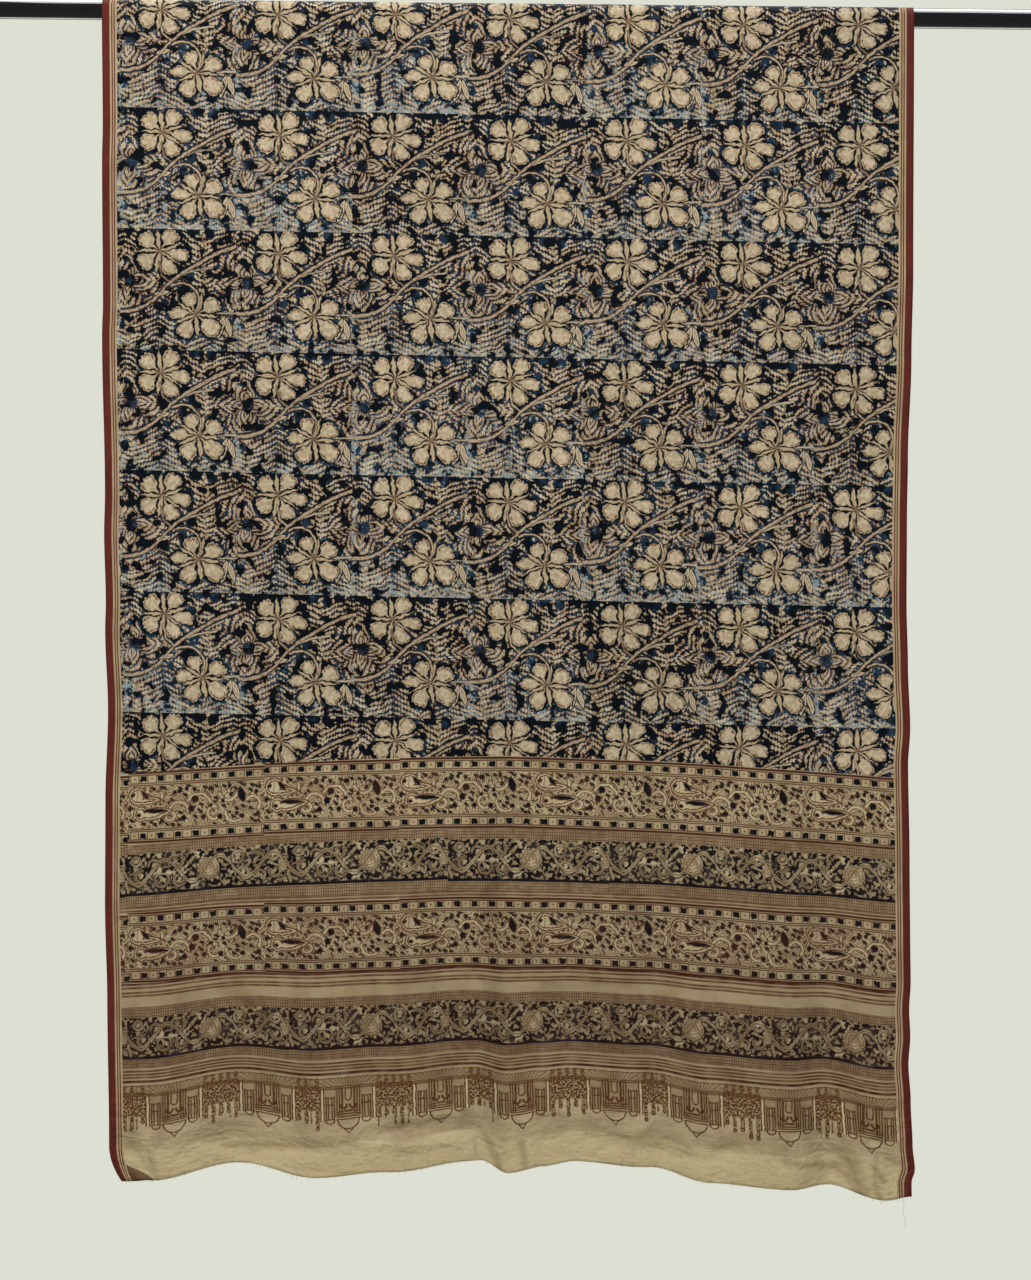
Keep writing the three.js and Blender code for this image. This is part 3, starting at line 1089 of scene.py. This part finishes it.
def scroll_band(border):
    """Tendrils and medallions left pale on indigo, between dotted strips."""
    second = border.down > SCROLLS_PART
    across = border.across - SCROLL_FROM
    block = count(across, SCROLL_BLOCK)
    along = across - block * SCROLL_BLOCK
    slip = chance(place_at(block, second), colour=True) - (0.5, 0.5, 0.5)
    down = border.down - choose(second, *SCROLL_TOPS) + slip.across * 2.4
    raw = place_at(along, down - DOTS_HEIGHT)
    shift = straying(raw + (0, 900, 0), 5)
    spot = raw + shift.stretched(3, 3)

    broken = ramp(noise(spot, 13, detail=0), 12, -7) * 2.4
    rings = least(*[abs(spot.from_point(x, y) - radius) for x, y, radius in TENDRILS]) + broken
    hearts = least(*[leaf(spot, (x - 2.4, y + 2), (x + 2.8, y - 2.4), 1.5) for x, y, radius in TENDRILS])
    swing = maths("SINE", spot.across * (2 * math.pi / VINE_PERIOD)) * VINE_SWING
    vine = abs(spot.down - VINE_MIDDLE - swing) * 0.62
    bloom = rosette(spot, MEDALLION, 12, 1.5)
    small_bloom = rosette(spot, SMALL_BLOOM, 8, 1.2)
    flowers = least(bloom - 11, small_bloom - 7)
    main = least(rings - 1.25, vine - 1.45)
    foliage = noise(spot, 5.2, detail=1)
    blot = noise(border, 24, detail=2)
    colour = paint(INK_BLACK, ramp(blot, 4, -2.1), INK_BLUE)
    inside = within(abs(raw.down - 21.8), 20.4 + blot * 3, 1.5)
    leafy = paint(TAN, ramp(noise(spot, 16), 5, -2.4), STRAW)
    colour.lay(beyond(foliage, 0.515, 0.06) * inside, leafy)
    colour.lay(within(abs(foliage - 0.58), 0.02, 0.03) * inside * 0.9, BROWN)
    colour.lay(within(least(main, flowers), 1.1), INK_BLACK)
    colour.lay(within(least(main, flowers, hearts), 0) * inside, leafy)
    centres = least(nearest(bloom, MEDALLION_LINES), nearest(small_bloom, SMALL_LINES))
    colour.lay(within(least(rings, vine, centres), 0.45, 0.8) * inside * 0.85, BROWN)
    colour.lay(ramp(blot, 4, -1.9) * inside * 0.25, MOSS)

    # the dotted strips are the same above and below
    fold = abs(down - SCROLL_HEIGHT / 2)
    return darkened_downwards(paint(colour, fold > TENDRILS_REACH, dotted_strip(border, along, fold)), border)


DOME_BLOCK = 195.0
DOME_FROM = 31.0
DOMES_APART = 104.0
DOMES_MIDDLE = 95.0  # halfway between a block's two towers
SIDE_TOWER = 20.5  # how far from a tower's middle the narrower one beside it stands
STRANDS_APART = 8.4
LEAVES_FROM = 31.6  # how far from a tower's middle its leafy side starts


def tower_lines(aside, side, y):
    """The distance from a tower's lines, by how far they are from its middle and from its side tower's."""
    posts = most(abs(repeat(aside - 10, 2.6)), abs(aside - 10.1) - 3.8, abs(y - 29) - 17)
    tongue = abs(span(aside, most(y - 35, 0)) - 6.3) + (y < 13)
    inner = abs(span(aside, most(y - 25, 0)) - 3.3) + (y < 13)
    steps = most(abs(repeat(y - 42, 3)), abs(y - 46.5) - 5.8, aside - 13)
    bowl = most(abs(span(aside, y - 51) - 12.3), 51 - y)
    point = most(abs(aside + (y - 63.3) * 0.8 - 4.2), 63.4 - y)
    box = least(most(abs(side - 4.6), abs(y - 37) - 14), most(abs(side - 2), abs(y - 37) - 12))
    shelf = most(nearest(y, (24, 33, 50.5)), side - 4.8)
    small = most(abs(span(side, y - 51) - 4.9), 51 - y)
    pillar = most(abs(abs(aside - 29.5) - 1.9), abs(y - 32) - 20)
    swags = most(abs(span(aside - 5.4, y - 34) - 3.6), 34 - y)
    return least(posts, tongue, inner, steps, bowl, point, box, shelf, small, pillar, swags - 0.5)


def dome_band(border):
    """A row of domed towers with leafy strands hanging between them."""
    down = border.down - DOME_TOP
    across = border.across - DOME_FROM
    along = across - count(across, DOME_BLOCK) * DOME_BLOCK
    spot = place_at(along, down * DOME_SQUASH) + straying(border, 6).stretched(1.7, 1.7)
    aside = abs(abs(spot.across - DOMES_MIDDLE) - DOMES_APART / 2)
    y = spot.down
    colour = cotton_ground(border)
    side = abs(aside - SIDE_TOWER)

    # the towers
    colour.lay(within(most(aside - 27, abs(y - 30) - 19), 0, 3) * 0.38, UMBER)
    lit = least(most(aside - 7.2, abs(y - 27) - 11), most(side - 2, abs(y - 31) - 9))
    colour.lay(within(lit, 0) * 0.4, TAN)
    colour.lay(within(most(abs(aside - 29.5) - 1.3, abs(y - 33) - 19), 0), STRAW)
    colour.lay(within(tower_lines(aside, side, y), 0.78), SEPIA)

    # leafy clusters and their strands, each of its own length
    strand = repeat(aside - 35, STRANDS_APART)
    length = chance(place_at(count(across - 4, STRANDS_APART), 5)) * 17 + 45
    hanging = most(abs(strand) - 2.1, y - length)
    cluster = most(LEAVES_FROM - aside, abs(y - 24) - 15)
    leafy = within(least(cluster, most(hanging, LEAVES_FROM - aside)), 0, 1.2)
    sprigs = noise(spot, 2.4, detail=0)
    colour.lay(leafy * 0.75, UMBER)
    colour.lay(leafy * within(sprigs, 0.4, 0.08) * 0.8, TAN)
    colour.lay(leafy * beyond(sprigs, 0.52, 0.08), SEPIA)
    bead = span(strand, y - length - 1)
    colour.lay(within(bead, 2.4) * (aside > LEAVES_FROM), SEPIA)
    colour.lay(within(bead, 0.7) * (aside > LEAVES_FROM), FERN)

    # the frieze and the beam under it
    fan = maths("ARCTAN2", aside, 24 - y)
    frieze = most(abs(repeat(fan, 0.15)) * (aside + 14), abs(y - 6) - 4.6)
    colour.lay(within(y, 15, 0.6) * within(0 - y, 0) * 0.5, UMBER)
    colour.lay(within(frieze, 0.5) * 0.8, SEPIA)
    return paint(colour, within(nearest(y, (0.6, 11, 13.4)), 0.5), SEPIA)


# The woven edges: how wide they are, their stripe's width, and where their fine lines are
SELVEDGE = 16.4
SELVEDGE_STRIPE = 8.4
SELVEDGE_LINES = (11.0, 13.6)


def selvedge(place):
    """A maroon stripe, then cream with two fine lines."""
    inward = MIDDLE - abs(place.across - MIDDLE)
    rib = maths("SINE", place.across * 5.5)
    colour = paint(COTTON, ramp(noise(place, 30, detail=2), 2, -0.6), TAN)
    colour.lay(within(nearest(inward, SELVEDGE_LINES), 0.65, 0.6), MAROON)
    worn = ramp(noise(place.stretched(1, 0.2), 7, detail=2), 2.4, -0.8)
    stripe = paint(MAROON, worn * 0.6, DARK_MAROON)
    stripe.lay(maths("MULTIPLY_ADD", rib, 0.5, 0.5) * 0.07, TAN)
    return paint(colour, within(inward, SELVEDGE_STRIPE, 0.7), stripe)


# ---- Materials ----

def new_material(name):
    material = bpy.data.materials.new(name)
    material.use_nodes = True
    material.node_tree.nodes.clear()
    return material, material.node_tree


WEAVE_TURNS = 7.0  # for each millimetre
CRINKLED_FROM, CRINKLED_OVER = 1190.0, 80.0  # down the cloth, where the plain end's crinkles start
LIGHT_THROUGH = 0.22  # the share of the light that goes through the cloth


def cloth_shader(colour, bump):
    """Thin cotton: it scatters light back, and lets some of it through."""
    matte = {"Base Color": colour, "Roughness": 0.92, "Specular IOR Level": 0.05, "Normal": bump}
    front = made(bump.tree, "BsdfPrincipled", matte)
    through = made(bump.tree, "BsdfTranslucent", {"Color": colour})
    return made(bump.tree, "MixShader", {0: LIGHT_THROUGH, 1: front, 2: through})


def on_selvedge(place):
    return abs(place.across - MIDDLE) > MIDDLE - SELVEDGE


def front_bands(place):
    """Each band's pattern, where it is drawn, and where it shows over those before it."""
    border = border_place(place)
    down = border.down
    in_paisleys = (down < PAISLEY_ENDS[0]) + (down > PAISLEY_TOPS[1] - 1) * (down < PAISLEY_ENDS[1])
    in_scrolls = (down < SCROLL_ENDS[0]) + (down > SCROLL_TOPS[1]) * (down < SCROLL_ENDS[1])
    in_domes = (down > DOME_TOP - 0.4) * (down < DOME_TOP + DOME_HEIGHT)
    return [
        (stripes, border, None), (dome_band, border, in_domes), (scroll_band, border, in_scrolls),
        (paisley_band, border, in_paisleys), (field, place, down < FIELD_ENDS),
        (selvedge, place, on_selvedge(place)),
    ]


# On the inside: the bands that show through, their half height, and where the plain end starts
SHOWN_BANDS, SHOWN_REACH = (937, 1120), 22
SHOWN_PLAIN = 1216


def faint_print(place):
    """What shows through of the print on the cloth's other side."""
    border = border_place(place)
    down = border.down
    spot, block = blocks(place)
    petals = flower(spot, FIRST_FLOWER, FIRST_PETALS)[0]
    petals = least(petals, flower(spot, SECOND_FLOWER, SECOND_PETALS)[0])
    mottle = noise(place, 4, detail=1)
    colour = paint(SHOWN_BLUE, ramp(mottle, 4, -1.6), TAN)
    colour.lay(within(petals, 0, 2) * 0.7, COTTON)
    bands = within(nearest(down, SHOWN_BANDS), SHOWN_REACH)
    edge = paint(cotton_ground(border), ramp(mottle, 3, -1.2) * 0.5, UMBER)
    edge.lay(bands * 0.6, SHOWN_BLUE)
    edge.lay(down > SHOWN_PLAIN, COTTON)
    return paint(colour, down > FIELD_ENDS, edge)


def reverse_bands(place):
    return [(faint_print, place, None), (selvedge, place, on_selvedge(place))]


def cloth_surface(place):
    """The weave, and the fine crinkles of washed cotton, which are sharpest at the plain end."""
    weave = maths("SINE", place.across * WEAVE_TURNS) * maths("SINE", place.down * WEAVE_TURNS)
    crinkle = abs(noise(place.stretched(0.5, 1), 26, detail=3, roughness=0.6) - 0.5)
    finer = abs(noise(place.stretched(1, 0.55), 15, detail=2) - 0.5)
    strength = beyond(place.down, CRINKLED_FROM, CRINKLED_OVER) * 3.8 + 0.8
    return weave * 0.05 - (crinkle * 2.2 + finer) * strength


def printed_cotton(name, list_bands):
    material, tree = new_material(name)
    place = Place(new_node(tree, "UVMap", {}, uv_map="Cloth").outputs[0]).stretched(1 / MM, 1 / MM)
    bump = made(tree, "Bump", {"Strength": 0.8, "Distance": MM, "Height": cloth_surface(place)})
    shader = None
    for pattern, where, shown in list_bands(place):
        finish = cloth_shader(pattern(where), bump)
        shader = finish if shader is None else made(tree, "MixShader", {0: shown, 1: shader, 2: finish})
    new_node(tree, "OutputMaterial", {"Surface": shader})
    return material


def place_on_piece(tree):
    """A place in space, in millimetres."""
    return Place(new_node(tree, "TexCoord", {}).outputs["Object"]).stretched(1 / MM, 1 / MM)


def thread_cotton():
    """Undyed yarn, with its twist."""
    material, tree = new_material("loose_yarn")
    place = place_on_piece(tree)
    bump = made(tree, "Bump", {"Strength": 0.2, "Distance": MM / 10, "Height": noise(place, 0.3)})
    shader = cloth_shader(paint(CREAM, noise(place, 3), COTTON), bump)
    new_node(tree, "OutputMaterial", {"Surface": shader})
    return material


def rod_enamel():
    """Gloss black, a little duller in places along the rod."""
    material, tree = new_material("black_enamel")
    dull = noise(place_on_piece(tree).stretched(0.1, 1), 9, detail=2)
    roughness = maths("MULTIPLY_ADD", dull, 0.12, 0.04)
    enamel = {"Base Color": ink(10, 11, 13), "Roughness": roughness, "Specular IOR Level": 0.15}
    new_node(tree, "OutputMaterial", {"Surface": made(tree, "BsdfPrincipled", enamel)})
    return material


# ---- The rod ----

ROD_SIDES = 96
ROD_EASE = 0.0008


def make_rod():
    """A round tube's outside, with its ends eased."""
    size = {"vertices": ROD_SIDES, "radius": ROD_RADIUS, "depth": ROD_LENGTH}
    along = (0, math.pi / 2, 0)
    rod = add_object(bpy.ops.mesh.primitive_cylinder_add, "enamelled_rod", rotation=along, **size)
    bpy.ops.object.transform_apply(location=True, rotation=True, scale=True)
    sharp = {"limit_method": "ANGLE", "angle_limit": math.radians(60)}
    modify(rod, "BEVEL", width=ROD_EASE, segments=3, **sharp)
    bpy.ops.object.shade_smooth_by_angle(angle=math.radians(40))
    return rod


# ---- Floor, light and camera ----

FLOOR_HEIGHT = -2.0
FLOOR_SIZE = 4.8


def make_floor():
    place = (0, 0, FLOOR_HEIGHT)
    floor = add_object(bpy.ops.mesh.primitive_plane_add, "floor", size=FLOOR_SIZE, location=place)
    material, tree = new_material("pale_floor")
    shader = made(tree, "BsdfPrincipled", {"Base Color": ink(214, 214, 202), "Roughness": 0.8})
    new_node(tree, "OutputMaterial", {"Surface": shader})
    floor.data.materials.append(material)


def make_world():
    """Soft light from all round, with a pale background behind the cloth."""
    world = bpy.data.worlds.new("studio")
    bpy.context.scene.world = world
    world.use_nodes = True
    tree = world.node_tree
    tree.nodes.clear()
    light = made(tree, "Background", {"Color": (1.0, 1.0, 1.0, 1), "Strength": 0.35})
    seen = made(tree, "Background", {"Color": ink(221, 223, 210), "Strength": 1.0})
    path = new_node(tree, "LightPath", {})
    rays = [Value(path.outputs[f"Is {kind} Ray"]) for kind in ("Camera", "Glossy", "Transmission")]
    mix = made(tree, "MixShader", {0: most(*rays), 1: light, 2: seen})
    new_node(tree, "OutputWorld", {"Surface": mix})


# The lamps named sheen show only in reflections, as two bright lines along the rod, and the others
# in none.
# (name, place, aimed at, width, height, power, colour)
LAMPS = [
    ("key", (-1.6, -2.3, 1.7), (0, 0, -0.8), 1.3, 1.3, 120, (1.0, 0.99, 0.97)),
    ("fill", (1.5, -2.7, 1.5), (0, 0, -0.8), 1.5, 1.5, 60, (1.0, 0.99, 0.97)),
    ("overhead", (0.0, -0.25, 2.0), (0, 0, 0), 2.4, 0.5, 20, (0.82, 0.9, 1.0)),
    ("behind", (0.0, 1.1, 1.4), (0, 0, 0), 2.4, 0.25, 24, (1.0, 1.0, 1.0)),
    ("back_fill", (0.8, 2.9, 0.7), (0, 0, -0.7), 1.5, 1.5, 80, (1.0, 0.99, 0.97)),
    ("sheen_above", (0.3, 0.12, 1.2), (0.3, 0, 0), 2.6, 1.4, 330, (0.94, 0.97, 1.0)),
    ("sheen_below", (0.0, 0.86, -0.83), (0, 0, 0), 2.6, 0.5, 36, (1.0, 1.0, 1.0)),
]


def add_lamp(name, place, target, width, height, power, colour):
    lamp = add_object(bpy.ops.object.light_add, name, type="AREA", location=place)
    put(lamp.data, shape="RECTANGLE", size=width, size_y=height, energy=power, color=colour)
    aim = Vector(target) - Vector(place)
    lamp.rotation_euler = aim.to_track_quat("-Z", "Y").to_euler()
    sheen = name.startswith("sheen")
    put(lamp, visible_glossy=sheen, visible_diffuse=not sheen, visible_transmission=not sheen)


CAMERA_PLACE = (0.0156, -3.0, -0.6958)
CAMERA_ROLL = math.radians(-0.6)
SEEN_HEIGHT = 1.418  # of the frame, at the cloth
SENSOR = 36.0


def make_camera():
    turn = (math.pi / 2, CAMERA_ROLL, 0)
    camera = add_object(bpy.ops.object.camera_add, "Camera", location=CAMERA_PLACE, rotation=turn)
    camera.data.sensor_width = SENSOR
    camera.data.lens = SENSOR * (-CAMERA_PLACE[1] - TURN_RADIUS) / SEEN_HEIGHT
    bpy.context.scene.camera = camera


# ---- Everything put together ----

make_camera()
bpy.context.scene.view_settings.view_transform = "Standard"

rod = make_rod()
rod.data.materials.append(rod_enamel())
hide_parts("rod")
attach(rod, "root")

cloth = make_cloth()
cloth.data.materials.append(printed_cotton("printed_cotton", front_bands))
cloth.data.materials.append(printed_cotton("printed_cotton_reverse", reverse_bands))
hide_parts("dupatta")
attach(cloth, "root")

threads = make_threads()
threads.data.materials.append(thread_cotton())
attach(threads, "root")

make_floor()
make_world()
for lamp in LAMPS:
    add_lamp(*lamp)
